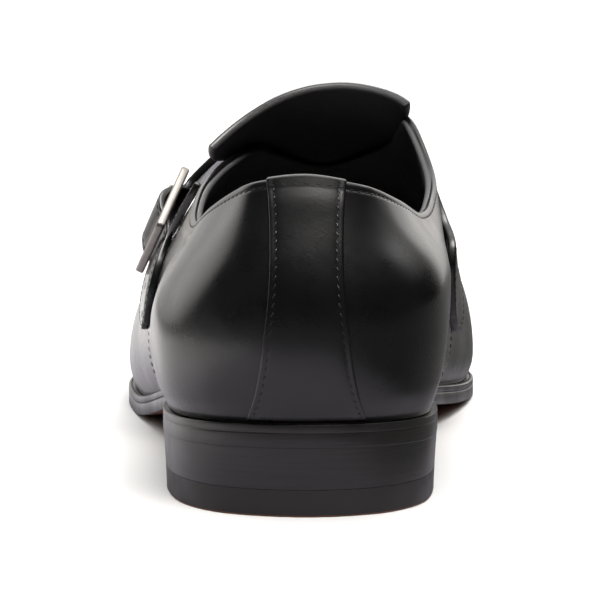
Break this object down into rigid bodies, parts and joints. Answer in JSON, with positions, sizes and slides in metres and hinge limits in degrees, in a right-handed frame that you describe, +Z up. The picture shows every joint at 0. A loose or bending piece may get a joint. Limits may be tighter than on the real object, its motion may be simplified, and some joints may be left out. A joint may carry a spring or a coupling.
{
  "type": "monk strap shoe",
  "caption": "Left leather monk strap dress shoe with a low heel, a back strip and a strap over the instep through a buckle on the outer side.",
  "frame": {"origin": "middle of the heel's rest face, on the floor", "axes": "+X to the inner side of the foot, +Y from the heel to the toe, +Z up"},
  "size_m": [0.1081, 0.3072, 0.0996],
  "materials": {
    "calf": "polished black calf",
    "lining": "black lining leather",
    "sole_edge": "black polished edge",
    "sole_leather": "tan sole leather",
    "heel_rubber": "matt black rubber",
    "nickel": "satin nickel"
  },
  "bodies": {
    "root": {"upper": "calf", "toe_cap": "calf", "back_strip": "calf", "tongue": "calf", "strap": "calf", "buckle_tab": "calf", "buckle_frame": "nickel", "buckle_prong": "nickel", "insole": "lining", "welt": "sole_edge", "outsole": "sole_leather", "heel_stack": "sole_edge", "heel_top_lift": "heel_rubber"}
  },
  "joints": []
}
